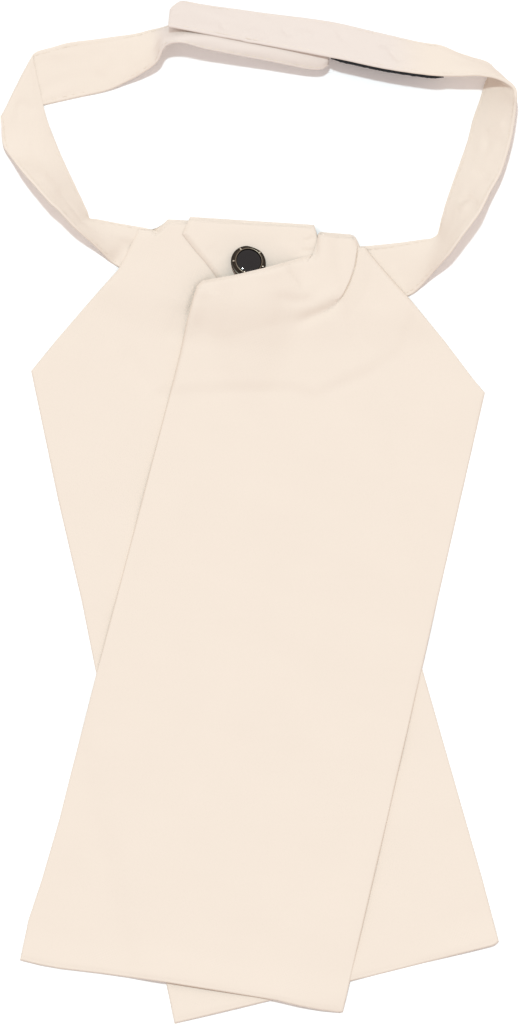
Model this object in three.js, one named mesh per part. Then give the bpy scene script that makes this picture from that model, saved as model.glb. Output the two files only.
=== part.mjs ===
// A ready-tied cravat lying flat on a table: a neck band closed at the back, two crossed blades,
// a knot wrap and a round stone tack. Millimetres, +Z up, the table is z = 0.
import * as THREE from 'three';

// Cloth
const CLOTH = 1.2; // wall of each doubled and stitched piece
const GAP = 0.3; // clearance between pieces that touch
const CLOTH_COLOR = 0xf4e7d8;

// Neck band
const BAND_ACROSS = 4; // cells across the band
const BAND_STEPS = 2; // cells between two stations
const FLAT_STATIONS = { first: 26, last: 32 }; // the stretch that lies flat under the knot
// The end underneath bows up between its edges, in full up to one station and not at all from another.
const BOW = { height: 2.8, peak: 0.3, full: 3, none: 6 };
// Each row is one line across the band, from the hidden end of the loop round to the end on top.
// The lower edge is the one that is nearer the blades when worn; here it stands up off the table.
const BAND_STATIONS = table(
  ['lowerX', 'lowerY', 'lowerZ', 'upperX', 'upperY', 'upperZ'],
  [
    // the end underneath, its corner rounded off
    [25.0, 160.6, 6.5, 26.0, 169.0, 1.2],
    [22.0, 158.8, 7.0, 24.6, 173.4, 0.6],
    [2.5, 161.9, 9.8, 3.2, 176.2, 0.6],
    [-19.4, 166.0, 13.0, -18.7, 179.0, 0.6],
    [-28.4, 168.1, 15.0, -27.0, 177.0, 0.6],
    [-33.8, 167.0, 13.5, -33.5, 174.2, 0.6],
    [-37.0, 161.2, 9.5, -38.5, 173.2, 0.6],
    [-42.4, 157.2, 6.0, -45.0, 171.7, 0.6],
    [-48.0, 154.2, 3.0, -51.1, 170.9, 0.6],
    [-54.4, 151.4, 1.2, -58.0, 169.9, 0.6],
    [-66.2, 148.7, 0.6, -68.8, 168.1, 0.6],
    // folded over at the left corner
    [-80.6, 145.4, 0.6, -74.5, 166.7, 0.6],
    [-89.6, 143.3, 0.6, -80.2, 165.2, 0.6],
    [-92.6, 141.6, 1.9, -81.2, 163.8, 1.6],
    [-92.7, 138.3, 3.0, -80.4, 159.0, 1.7],
    [-92.6, 134.4, 3.2, -78.6, 150.6, 1.8],
    [-91.9, 131.1, 3.2, -76.4, 141.4, 1.6],
    // down the left side, rising until it stands at the corner by the shoulder
    [-88.2, 126.4, 4.5, -72.6, 131.4, 0.6],
    [-84.2, 122.0, 9.0, -69.2, 123.5, 0.6],
    [-80.0, 116.4, 12.5, -65.9, 116.3, 0.6],
    [-75.4, 111.2, 15.0, -63.2, 110.5, 0.6],
    [-71.3, 107.6, 16.0, -61.6, 106.6, 0.6],
    [-67.3, 102.8, 14.0, -61.2, 105.1, 0.6],
    [-63.7, 99.4, 10.5, -58.0, 104.6, 0.6],
    [-60.1, 96.2, 7.5, -53.6, 103.9, 0.6],
    [-56.2, 92.5, 4.0, -46.4, 102.8, 0.6],
    [-52.8, 89.2, 0.6, -40.6, 101.8, 0.6],
    // flat under the knot
    [-39.2, 82.8, 0.6, -28.4, 98.8, 0.6],
    [-21.2, 78.5, 0.6, -14.8, 96.8, 0.6],
    [2.2, 76.3, 0.6, 2.9, 95.6, 0.6],
    [25.6, 75.6, 0.6, 22.0, 94.9, 0.6],
    [44.3, 76.3, 0.6, 35.6, 94.7, 0.6],
    // out on the right, rising again to its corner
    [54.2, 77.6, 0.6, 45.2, 95.3, 0.6],
    [58.4, 81.0, 2.5, 51.5, 96.5, 0.6],
    [62.0, 85.2, 6.0, 58.0, 97.6, 0.6],
    [65.2, 88.9, 9.0, 62.3, 98.1, 0.6],
    [68.5, 92.6, 11.5, 64.4, 99.4, 0.6],
    [72.8, 98.6, 14.0, 65.8, 104.8, 0.6],
    // up the right side, leaning out
    [78.5, 107.1, 13.8, 67.8, 112.0, 0.6],
    [82.5, 114.3, 13.2, 70.2, 119.2, 0.6],
    [86.8, 121.3, 12.4, 72.7, 126.4, 0.6],
    [89.6, 129.6, 12.4, 75.2, 133.6, 0.6],
    [91.4, 138.2, 12.8, 77.0, 140.8, 0.6],
    [92.3, 145.1, 14.1, 79.6, 148.0, 0.6],
    // folded over at the right corner
    [92.5, 148.7, 15.0, 81.5, 154.1, 0.6],
    [92.2, 150.8, 15.2, 83.2, 158.4, 0.6],
    [91.3, 152.3, 15.4, 83.3, 160.6, 1.9],
    [89.3, 153.7, 15.6, 81.0, 161.6, 3.2],
    [86.0, 155.3, 15.6, 76.0, 163.1, 3.0],
    [79.6, 156.4, 15.4, 70.9, 164.9, 2.2],
    // back to the left as the end on top, leaning in
    [72.4, 156.2, 14.5, 65.2, 167.4, 1.2],
    [64.1, 156.4, 13.5, 58.0, 168.9, 0.7],
    [47.2, 158.6, 13.0, 43.6, 172.2, 0.6],
    [28.4, 162.5, 12.6, 25.6, 176.0, 0.6],
    [2.5, 167.4, 12.8, 0.4, 179.3, 0.6],
    [-19.4, 171.5, 14.5, -21.2, 182.3, 0.6],
    [-29.5, 173.5, 15.5, -27.7, 183.4, 0.6],
    [-32.0, 173.9, 15.5, -31.3, 180.4, 5.5],
  ],
);

// Hook tape sewn inside the end on top
const TAPE_THICKNESS = 1.1;
const TAPE_FROM = { station: 51, cell: 0 }; // its right end, level with the band's lower edge
const TAPE_TO = { station: 53, cell: 3 }; // its left end and its far side
const TAPE_COLOR = 0x17161a;

// Blades and knot. Each line of a piece runs from its left edge to its right edge.
// Their top edges are folded down over the band, so they reach the table there.
const TURN = 0.9; // the depth of the part of a top edge that turns down
const CLOTH_COLUMNS = 24;
const UNDER_TOP_EDGE = [[-33.5, 105.2], [-25.5, 104.4], [18.4, 100.4]];
const UNDER_BLADE = [
  { rows: 1, line: UNDER_TOP_EDGE },
  { rows: 1, line: lowered(UNDER_TOP_EDGE, TURN) },
  { rows: 3, line: lowered(UNDER_TOP_EDGE, TURN + GAP) },
  { rows: 2, line: [[-43.6, 101.9], [19.0, 97.4]] },
  { rows: 2, line: [[-46.1, 97.2], [19.8, 94.0]] },
  { rows: 2, line: [[-47.9, 92.2], [20.5, 86.5]] },
  { rows: 4, line: [[-50.8, 86.8], [21.2, 79.6]] },
  { rows: 3, line: [[-60.5, 76.0], [24.0, 68.0]] },
  { rows: 2, line: [[-72.9, 61.6], [26.8, 57.0]] },
  { rows: 3, line: [[-82.0, 50.4], [29.5, 47.2]] },
  { rows: 2, line: [[-72.3, 4.0], [41.7, 4.0]] },
  { rows: 1, line: [[-63.9, -32.0], [51.8, -32.0]] },
  { rows: 3, line: [[-59.0, -56.5], [58.7, -56.5]] },
  { rows: 0, line: [[-30.2, -184.0], [-6.8, -178.6], [43.2, -166.4], [72.4, -159.2], [86.2, -155.2]] },
];
// The fold over the tack, the step up to the top of the knot and the right shoulder
const TOP_FOLD = [[-19.8, 82.1], [-8.3, 85.0], [2.2, 87.5], [12.6, 90.4], [20.0, 92.6]];
const TOP_EDGE = [[21.4, 100.2], [33.5, 99.0]];
const TOP_SHOULDER = [[36.0, 94.7], [38.2, 94.7]];
const TOP_LINE = [...TOP_FOLD, ...TOP_EDGE, ...TOP_SHOULDER];
const TOP_TURNED = [[23.2, 100.0], [33.5, 99.0]]; // the part of the edge that turns down
const TOP_BLADE = [
  { rows: 1, line: TOP_LINE },
  { rows: 1, line: lowered(TOP_LINE, TURN) },
  { rows: 6, line: lowered(TOP_LINE, TURN + GAP) },
  { rows: 4, line: [[-21.4, 77.0], [45.6, 86.0]] },
  { rows: 3, line: [[-23.8, 69.0], [54.6, 76.0]] },
  { rows: 3, line: [[-27.6, 57.0], [66.5, 61.6]] },
  { rows: 1, line: [[-30.8, 46.5], [77.4, 47.2]] },
  { rows: 12, line: [[-32.0, 42.5], [81.3, 42.6]] },
  { rows: 14, line: [[-58.0, -56.5], [58.7, -56.5]] },
  { rows: 0, line: [[-86.0, -161.6], [-33.8, -169.6], [5.8, -176.0], [31.0, -180.2]] },
];
const WRAP_TOP_EDGE = [[-24.8, 105.5], [19.8, 102.6]];
const KNOT_WRAP = [
  { rows: 1, line: WRAP_TOP_EDGE },
  { rows: 1, line: lowered(WRAP_TOP_EDGE, TURN) },
  { rows: 4, line: lowered(WRAP_TOP_EDGE, TURN + GAP) },
  { rows: 3, line: [[-27.6, 99.6], [20.6, 98.8]] },
  { rows: 3, line: [[-23.8, 94.7], [21.8, 95.0]] },
  { rows: 4, line: [[-19.1, 88.2], [21.8, 91.1]] },
  { rows: 0, line: [[-15.2, 80.3], [21.0, 86.0]] },
];

// Doubled cloth inside the top blade, down to a soft step across its shoulders
const INNER_FOLD = 0.8;
const INNER_FOLD_RISE = 4;
const INNER_FOLD_LINE = [[-40, 40.5], [-10.4, 42.8], [11.2, 42.5], [20.2, 40.0], [36.4, 47.2], [52, 56], [60, 80]];
// The pleat that lies over the right shoulder
const PLEAT = 1.0;
const PLEAT_RISE = 2;
const PLEAT_LINE = [[36.6, 98.0], [35.6, 94.0], [34.6, 87.5], [32.8, 82.4], [30.2, 77.0], [22.0, 69.5], [8, 64]];

// How far cloth takes to come down beside what it lies on
const DRAPE = 6;
const DRAPE_OVER_BAND = 10;
const DRAPE_OVER_KNOT = 20;
const SEAM = 3.0; // what lies under a piece lifts it this far past its own edge

// Tack
const TACK = { x: -3.7, y: 90.4 };
const TACK_RADIUS = 6.25;
const TACK_HEIGHT = 3.0;
const CUP_RADIUS = 4.6; // the foot of the setting, on the cloth
const CUP_HEIGHT = 2.1; // where the cup has flared to the full radius
const RIM_CHAMFER = 0.5;
const STONE_RADIUS = 4.15;
const STONE_SEAT = 1.8; // the floor of the setting that the stone lies on
const STONE_EDGE = 2.7; // the top of the stone's straight side
const STONE_DOME = 0.9;
const DOME_RINGS = 4;
const TACK_SIDES = 32;
const TACK_CLEAR = 3.4; // how far the fold over the tack is lifted
const TACK_TENT = 13; // how far from the tack the cloth comes down again
const SETTING_COLOR = 0x55504e;
const STONE_COLOR = 0x08080a;

// Reads a table into objects with one named value for each column.
function table(columns, rows) {
  return rows.map((row) => Object.fromEntries(columns.map((name, i) => [name, row[i]])));
}

// A line moved towards the hem.
function lowered(line, distance) {
  return line.map(([x, y]) => [x, y - distance]);
}

// A rise from 0 to 1 as t goes from 0 to 1.
function ease(t) {
  return THREE.MathUtils.smoothstep(t, 0, 1);
}

// The point a share of the way along a line of [x, y] points.
function along(line, share) {
  const lengths = line.slice(1).map((p, i) => Math.hypot(p[0] - line[i][0], p[1] - line[i][1]));
  let left = share * lengths.reduce((sum, length) => sum + length, 0);
  for (let i = 0; i < lengths.length; i += 1) {
    if (left <= lengths[i] || i === lengths.length - 1) {
      const t = Math.min(left / lengths[i], 1);
      return [
        THREE.MathUtils.lerp(line[i][0], line[i + 1][0], t),
        THREE.MathUtils.lerp(line[i][1], line[i + 1][1], t),
      ];
    }
    left -= lengths[i];
  }
  return line[line.length - 1];
}

// The distance from (x, y) to the nearest point of a line, and the side it is on: + on the left.
function distanceTo(line, x, y) {
  let best = Infinity;
  let side = 1;
  for (let i = 0; i + 1 < line.length; i += 1) {
    const [ax, ay] = line[i];
    const [dx, dy] = [line[i + 1][0] - ax, line[i + 1][1] - ay];
    const t = THREE.MathUtils.clamp(((x - ax) * dx + (y - ay) * dy) / (dx * dx + dy * dy), 0, 1);
    const distance = Math.hypot(x - ax - t * dx, y - ay - t * dy);
    if (distance < best - 1e-9) {
      best = distance;
      side = dx * (y - ay) - dy * (x - ax) >= 0 ? 1 : -1;
    }
  }
  return best * side;
}

// How deep (x, y) lies inside a closed outline; negative outside it.
function depthInside(outline, x, y) {
  let within = false;
  outline.forEach(([ax, ay], i) => {
    const [bx, by] = outline[(i + 1) % outline.length];
    if (ay > y !== by > y && x < ((bx - ax) * (y - ay)) / (by - ay) + ax) within = !within;
  });
  const reach = Math.abs(distanceTo([...outline, outline[0]], x, y));
  return within ? reach : -reach;
}

// The closed outline of a piece that is given by lines across it.
function outlineOf(piece) {
  const left = piece.map(({ line }) => line[0]);
  const right = piece.map(({ line }) => line[line.length - 1]);
  const top = piece[0].line.slice(1, -1);
  const bottom = piece[piece.length - 1].line.slice(1, -1).reverse();
  return [left[0], ...top, ...right, ...bottom, ...left.slice(1).reverse()];
}

// A grid of [x, y] places between the lines of a piece.
function placesOf(piece, columns) {
  const places = [];
  piece.slice(0, -1).forEach(({ rows, line }, i) => {
    for (let r = 0; r < rows; r += 1) {
      places.push(rowBetween(line, piece[i + 1].line, r / rows, columns));
    }
  });
  places.push(rowBetween(piece.at(-1).line, piece.at(-1).line, 0, columns));
  return places;
}

function rowBetween(upper, lower, share, columns) {
  return Array.from({ length: columns + 1 }, (_, c) => {
    const a = along(upper, c / columns);
    const b = along(lower, c / columns);
    return [THREE.MathUtils.lerp(a[0], b[0], share), THREE.MathUtils.lerp(a[1], b[1], share)];
  });
}

// A closed wall between two grids of points, the first one on the side the faces turn to.
function wall(front, back) {
  const rows = front.length;
  const columns = front[0].length;
  const positions = [...front.flat(), ...back.flat()].flatMap((p) => [p.x, p.y, p.z]);
  const at = (side, r, c) => side * rows * columns + r * columns + c;
  const faces = [];
  const quad = (a, b, c, d) => faces.push(a, b, c, a, c, d);
  for (let r = 0; r + 1 < rows; r += 1) {
    for (let c = 0; c + 1 < columns; c += 1) {
      quad(at(0, r, c), at(0, r + 1, c), at(0, r + 1, c + 1), at(0, r, c + 1));
      quad(at(1, r, c), at(1, r, c + 1), at(1, r + 1, c + 1), at(1, r + 1, c));
    }
  }
  for (let c = 0; c + 1 < columns; c += 1) {
    quad(at(0, 0, c), at(0, 0, c + 1), at(1, 0, c + 1), at(1, 0, c));
    quad(at(0, rows - 1, c + 1), at(0, rows - 1, c), at(1, rows - 1, c), at(1, rows - 1, c + 1));
  }
  for (let r = 0; r + 1 < rows; r += 1) {
    quad(at(0, r + 1, 0), at(0, r, 0), at(1, r, 0), at(1, r + 1, 0));
    quad(at(0, r, columns - 1), at(0, r + 1, columns - 1), at(1, r + 1, columns - 1), at(1, r, columns - 1));
  }
  const geometry = new THREE.BufferGeometry();
  geometry.setAttribute('position', new THREE.Float32BufferAttribute(positions, 3));
  geometry.setIndex(faces);
  geometry.computeVertexNormals();
  return geometry;
}

// A cloth piece that lies on something, its underside and its upper side each at a height.
function laidCloth(piece, underside, upperSide) {
  const places = placesOf(piece, CLOTH_COLUMNS);
  const layer = (height) => places.map((row) => row.map(([x, y]) => new THREE.Vector3(x, y, height(x, y))));
  return wall(layer(upperSide), layer(underside));
}

// The neck band's middle surface, one row of points for each line across it.
function bandSurface() {
  const pick = (edge) =>
    new THREE.CatmullRomCurve3(
      BAND_STATIONS.map((s) => new THREE.Vector3(s[edge + 'X'], s[edge + 'Y'], s[edge + 'Z'])),
    );
  const lower = pick('lower');
  const upper = pick('upper');
  return (station, across) => {
    const t = station / (BAND_STATIONS.length - 1);
    const point = lower.getPoint(t).lerp(upper.getPoint(t), across);
    return point.setZ(Math.max(point.z, CLOTH / 2) + bow(station, across));
  };
}

function bow(station, across) {
  const fade = 1 - ease((station - BOW.full) / (BOW.none - BOW.full));
  const share = across < BOW.peak ? across / BOW.peak : (1 - across) / (1 - BOW.peak);
  return BOW.height * fade * Math.sin((share * Math.PI) / 2);
}

// The direction square to the band's surface, towards the side that shows on the end on top.
function bandNormal(surface, station, across) {
  const last = BAND_STATIONS.length - 1;
  const step = 1 / (2 * BAND_STEPS);
  const next = surface(Math.min(station + step, last), across);
  const previous = surface(Math.max(station - step, 0), across);
  const side = surface(station, 1).sub(surface(station, 0));
  return next.sub(previous).cross(side).normalize().negate();
}

// A wall of the band's own form, lying a distance off its middle surface.
function bandWall(stations, acrosses, offset, thickness) {
  const surface = bandSurface();
  const layer = (distance) =>
    stations.map((s) =>
      acrosses.map((a) => surface(s, a).addScaledVector(bandNormal(surface, s, a), distance)),
    );
  return wall(layer(offset - thickness / 2), layer(offset + thickness / 2));
}

function range(count, from, to) {
  return Array.from({ length: count + 1 }, (_, i) => from + ((to - from) * i) / count);
}

function neckBand() {
  const last = BAND_STATIONS.length - 1;
  return bandWall(range(last * BAND_STEPS, 0, last), range(BAND_ACROSS, 0, 1), 0, CLOTH);
}

function hookTape() {
  const cells = (TAPE_TO.station - TAPE_FROM.station) * BAND_STEPS;
  const stations = range(cells, TAPE_FROM.station, TAPE_TO.station);
  const acrosses = range(BAND_ACROSS, 0, 1).slice(TAPE_FROM.cell, TAPE_TO.cell + 1);
  return bandWall(stations, acrosses, -(CLOTH / 2 + GAP + TAPE_THICKNESS / 2), TAPE_THICKNESS);
}

// The part of the band that lies flat under the knot.
function flatBandOutline() {
  const flat = BAND_STATIONS.slice(FLAT_STATIONS.first, FLAT_STATIONS.last + 1);
  return [
    ...flat.map((s) => [s.lowerX, s.lowerY]),
    ...flat.map((s) => [s.upperX, s.upperY]).reverse(),
  ];
}

const bandOutline = flatBandOutline();
const underOutline = outlineOf(UNDER_BLADE);
const wrapOutline = outlineOf(KNOT_WRAP);

// How much of its full height cloth has at a depth inside what it lies on.
function draped(depth, reach) {
  return ease((depth + SEAM + reach) / reach);
}

// Whether (x, y) is on the part of a top edge that turns down to the table.
function turnedDown(edge, x, y) {
  return Math.abs(distanceTo(edge, x, y)) < TURN + GAP / 2;
}

function overBand(x, y) {
  return (CLOTH + GAP) * draped(depthInside(bandOutline, x, y), DRAPE_OVER_BAND);
}

function underUnderBlade(x, y) {
  return turnedDown(UNDER_TOP_EDGE, x, y) ? 0 : overBand(x, y);
}

function underBladeTop(x, y) {
  return overBand(x, y) + CLOTH;
}

function overUnderBlade(x, y) {
  return (overBand(x, y) + CLOTH + GAP) * draped(depthInside(underOutline, x, y), DRAPE);
}

function wrapHeight(x, y) {
  return Math.max(overUnderBlade(x, y), overBand(x, y));
}

function underWrap(x, y) {
  return turnedDown(WRAP_TOP_EDGE, x, y) ? 0 : wrapHeight(x, y);
}

function wrapTop(x, y) {
  return wrapHeight(x, y) + CLOTH;
}

function overWrap(x, y) {
  return (wrapTop(x, y) + GAP) * draped(depthInside(wrapOutline, x, y), DRAPE_OVER_KNOT);
}

function overTack(x, y) {
  const reach = Math.hypot(x - TACK.x, y - TACK.y) - TACK_RADIUS;
  return TACK_CLEAR * ease(1 - (reach - SEAM) / TACK_TENT);
}

function topBladeHeight(x, y) {
  return Math.max(overBand(x, y), overUnderBlade(x, y), overWrap(x, y)) + overTack(x, y);
}

function underTopBlade(x, y) {
  return turnedDown(TOP_TURNED, x, y) ? 0 : topBladeHeight(x, y);
}

function topBladeTop(x, y) {
  const inner = ease(distanceTo(INNER_FOLD_LINE, x, y) / INNER_FOLD_RISE);
  const pleat = ease(-distanceTo(PLEAT_LINE, x, y) / PLEAT_RISE);
  return topBladeHeight(x, y) + CLOTH + INNER_FOLD * inner + PLEAT * pleat;
}

function tackSetting(base) {
  const bore = STONE_RADIUS + GAP;
  const profile = [
    [0, 0],
    [CUP_RADIUS, 0],
    [TACK_RADIUS, CUP_HEIGHT],
    [TACK_RADIUS, TACK_HEIGHT - RIM_CHAMFER],
    [TACK_RADIUS - RIM_CHAMFER, TACK_HEIGHT],
    [bore + RIM_CHAMFER, TACK_HEIGHT],
    [bore, TACK_HEIGHT - RIM_CHAMFER],
    [bore, STONE_SEAT],
    [0, STONE_SEAT],
  ];
  return turnedOnTack(profile, base);
}

function tackStone(base) {
  const dome = range(DOME_RINGS, STONE_RADIUS, 0).slice(1);
  const profile = [
    [0, STONE_SEAT + GAP],
    [STONE_RADIUS, STONE_SEAT + GAP],
    [STONE_RADIUS, STONE_EDGE],
    ...dome.map((r) => [r, STONE_EDGE + STONE_DOME * (1 - (r / STONE_RADIUS) ** 2)]),
  ];
  return turnedOnTack(profile, base);
}

// A round piece on the tack's axis, from its outline of [radius, height] points.
function turnedOnTack(profile, base) {
  const lathe = new THREE.LatheGeometry(profile.map(([r, z]) => new THREE.Vector2(r, z)), TACK_SIDES);
  return lathe.rotateX(Math.PI / 2).translate(TACK.x, TACK.y, base);
}

function part(name, geometry, color, roughness, metalness) {
  const mesh = new THREE.Mesh(geometry, new THREE.MeshStandardMaterial({ color, roughness, metalness }));
  mesh.name = name;
  return mesh;
}

const tackBase = overWrap(TACK.x, TACK.y);
const cravat = new THREE.Group();
cravat.add(
  part('neck_band', neckBand(), CLOTH_COLOR, 0.9, 0),
  part('hook_tape', hookTape(), TAPE_COLOR, 0.95, 0),
  part('under_blade', laidCloth(UNDER_BLADE, underUnderBlade, underBladeTop), CLOTH_COLOR, 0.9, 0),
  part('top_blade', laidCloth(TOP_BLADE, underTopBlade, topBladeTop), CLOTH_COLOR, 0.9, 0),
  part('knot_wrap', laidCloth(KNOT_WRAP, underWrap, wrapTop), CLOTH_COLOR, 0.9, 0),
  part('tack_setting', tackSetting(tackBase), SETTING_COLOR, 0.3, 1),
  part('tack_stone', tackStone(tackBase), STONE_COLOR, 0.08, 0),
);

export default cravat;
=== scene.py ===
"""A ready-tied cotton cravat lying flat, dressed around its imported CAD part.

Tables and shapes are in millimetres, in the part's own frame. Meshes are made in metres.
"""

import math

import bmesh
import bpy
import numpy as np
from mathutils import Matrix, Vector


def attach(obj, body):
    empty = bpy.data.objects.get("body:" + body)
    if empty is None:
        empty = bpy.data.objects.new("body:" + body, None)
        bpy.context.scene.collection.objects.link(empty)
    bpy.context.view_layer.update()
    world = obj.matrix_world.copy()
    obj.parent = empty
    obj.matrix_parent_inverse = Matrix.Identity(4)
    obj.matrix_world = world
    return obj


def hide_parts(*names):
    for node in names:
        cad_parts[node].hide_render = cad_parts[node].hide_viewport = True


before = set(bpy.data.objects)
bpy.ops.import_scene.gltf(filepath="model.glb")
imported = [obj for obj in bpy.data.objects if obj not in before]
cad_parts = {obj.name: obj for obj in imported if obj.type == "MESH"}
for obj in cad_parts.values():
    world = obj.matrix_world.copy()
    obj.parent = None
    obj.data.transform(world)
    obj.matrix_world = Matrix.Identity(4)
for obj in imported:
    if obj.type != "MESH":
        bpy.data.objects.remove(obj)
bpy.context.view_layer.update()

MM = 0.001

# Picture, in metres: how high the eye is, where it looks and how much it sees from top to bottom
EYE_HEIGHT = 6.0
PICTURE_CENTRE = (0.00018, -0.00036)
PICTURE_LENGTH = 0.36864
SENSOR = 36.0  # in millimetres

# Cloth
CLOTH = 1.2  # how thick the doubled cloth is
GAP = 0.3  # the clearance between two layers
EDGE_RADIUS = 0.6
RIM = 0.15  # how thick a rounded edge still is at its very edge, as a share
EDGE_GAP = 0.12  # the clearance left where an edge has settled on the cloth below
SETTLE = 2.5  # how far in from an edge it does so
RELIEF_RISE = 1.5  # how far in from an edge creases reach their full height
UNEVEN = [(0.16, 42), (0.05, 15), (0.012, 5)]  # pressed cotton's unevenness: its heights and wavelengths
SEEDS = {
    "under_blade": 11,
    "wrap": 21,
    "top_blade": 31,
    "pucker": 41,
    "band": 43,
    "hooks": 51,
    "under_hem": 61,
    "top_hem": 71,
}

# Neck band. Each row is one line across the band, from the hidden end of the loop round to the end on
# top: x, y, z of its standing edge, then x, y, z of the edge that lies on the table.
BAND_WIDTH = 19.0
BAND_STATIONS = np.array(
    [
        # the end underneath, its corner rounded off
        [25.0, 160.6, 6.5, 26.0, 169.0, 1.2],
        [22.0, 158.8, 7.0, 24.6, 173.4, 0.6],
        [2.5, 161.9, 9.8, 3.2, 176.2, 0.6],
        [-19.4, 166.0, 13.0, -18.7, 179.0, 0.6],
        [-28.4, 168.1, 15.0, -27.0, 177.0, 0.6],
        [-33.8, 167.0, 13.5, -33.5, 174.2, 0.6],
        [-37.0, 161.2, 9.5, -38.5, 173.2, 0.6],
        [-42.4, 157.2, 6.0, -45.0, 171.7, 0.6],
        [-48.0, 154.2, 3.0, -51.1, 170.9, 0.6],
        [-54.4, 151.4, 1.2, -58.0, 169.9, 0.6],
        [-66.2, 148.7, 0.6, -68.8, 168.5, 0.6],
        # folded over at the left corner
        [-80.6, 145.4, 0.6, -74.5, 166.9, 0.6],
        [-89.6, 143.3, 0.6, -80.2, 165.2, 0.6],
        [-92.6, 141.6, 1.9, -81.2, 163.8, 1.4],
        [-92.7, 138.3, 2.8, -80.4, 159.0, 1.4],
        [-92.6, 134.4, 3.0, -78.6, 150.6, 1.4],
        [-91.9, 131.1, 4.0, -76.4, 141.4, 1.3],
        # down the left side, rising until it stands at the corner by the shoulder
        [-88.6, 126.4, 7.0, -72.6, 131.4, 0.6],
        [-85.2, 122.2, 11.8, -69.2, 123.5, 0.6],
        [-79.9, 116.2, 14.8, -65.9, 116.3, 0.6],
        [-75.4, 111.2, 15.4, -63.2, 110.5, 0.6],
        [-71.2, 107.4, 14.8, -61.6, 106.6, 0.6],
        [-67.4, 103.2, 13.2, -61.2, 105.1, 0.6],
        [-63.7, 99.6, 11.0, -58.0, 104.6, 0.6],
        [-60.1, 96.3, 8.0, -53.6, 103.9, 0.6],
        [-56.2, 92.5, 4.0, -46.4, 102.8, 0.6],
        [-52.8, 89.2, 0.6, -40.6, 101.8, 0.6],
        # flat under the knot
        [-39.2, 82.8, 0.6, -28.4, 98.8, 0.6],
        [-21.2, 78.5, 0.6, -14.8, 96.8, 0.6],
        [2.2, 76.3, 0.6, 2.9, 95.6, 0.6],
        [25.6, 75.6, 0.6, 22.0, 94.9, 0.6],
        [44.3, 76.3, 0.6, 35.6, 95.2, 0.6],
        # out on the right, rising again to its corner
        [54.2, 77.6, 0.6, 45.2, 96.0, 0.6],
        [58.4, 81.0, 2.5, 51.5, 96.7, 0.6],
        [62.0, 85.2, 6.0, 58.0, 97.6, 0.6],
        [65.2, 88.9, 10.0, 62.3, 98.1, 0.6],
        [68.5, 92.6, 13.0, 64.4, 99.4, 0.6],
        [72.8, 98.6, 15.0, 65.8, 104.8, 0.6],
        # up the right side, leaning out
        [79.3, 107.3, 14.6, 67.8, 112.0, 0.6],
        [82.9, 114.3, 12.0, 70.2, 119.2, 0.6],
        [86.8, 121.3, 10.0, 72.7, 126.4, 0.6],
        [89.6, 129.6, 10.0, 75.2, 133.6, 0.6],
        [91.5, 138.2, 10.8, 77.0, 140.8, 0.6],
        [92.3, 145.1, 12.8, 79.6, 148.0, 0.6],
        # folded over at the right corner
        [92.5, 148.7, 15.0, 81.5, 154.1, 0.6],
        [92.2, 150.8, 15.2, 83.2, 157.8, 0.6],
        [91.3, 152.3, 15.4, 82.9, 160.4, 1.9],
        [89.3, 153.7, 15.6, 81.0, 161.6, 3.2],
        [86.0, 155.3, 15.6, 76.0, 163.1, 3.0],
        [79.6, 156.4, 15.4, 70.9, 164.9, 2.2],
        # back to the left as the end on top, leaning in
        [72.4, 156.2, 14.5, 65.2, 167.4, 1.2],
        [64.1, 156.4, 13.5, 58.0, 168.6, 0.7],
        [47.2, 158.6, 13.0, 43.6, 171.9, 0.6],
        [28.4, 162.5, 12.6, 25.6, 176.0, 0.6],
        [2.5, 167.4, 12.8, 0.4, 179.3, 0.6],
        [-19.4, 171.5, 14.5, -21.2, 182.3, 0.6],
        [-29.5, 173.5, 15.5, -27.7, 183.4, 0.6],
        [-32.7, 174.1, 15.5, -32.1, 180.4, 5.5],
    ]
)
BAND_FLAT = (26, 32)  # its first and last row that lie flat under the knot
BAND_CELL = 0.8
BAND_UNEVEN = (0.12, 16)  # the height and the wavelength of its unevenness
BOW = 4.4  # how far the end underneath bows up between its edges
BOW_PEAK = 0.38  # the share across at which it does so most
BOW_ROWS = (3, 6)  # it bows in full up to one row and not at all from another
STITCH_INSET = 1.25
STITCH_GROOVE = (0.14, 0.3)  # how deep and how wide
STITCH_PITCH = 2.7
STITCH_LENGTH = 2.0
STITCH_THICK = 0.26
STITCH_SIDES = 6
STITCH_FLAT = 0.8  # its thickness off the cloth, as a share of its width
# Places along a stitch and how wide it is there, as shares
STITCH_RINGS = [(-1.0, 0.25), (-0.6, 0.85), (0.0, 1.0), (0.6, 0.85), (1.0, 0.25)]
STITCH_END = 0.4  # how many rows from each end of the band its stitching ends
PUCKER = (0.06, 4.5, 1.6)  # the height, wavelength and reach of the puckers beside the stitching
CORNER_SOFT = 4.5  # the radius of its edge where it is folded over on itself
CORNER_ROWS = (14.5, 2.0)  # the middle row of that stretch and how far it reaches
CORNER_BARE = (12.0, 17.0)  # rows between which the soft edge hides its stitches
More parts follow.
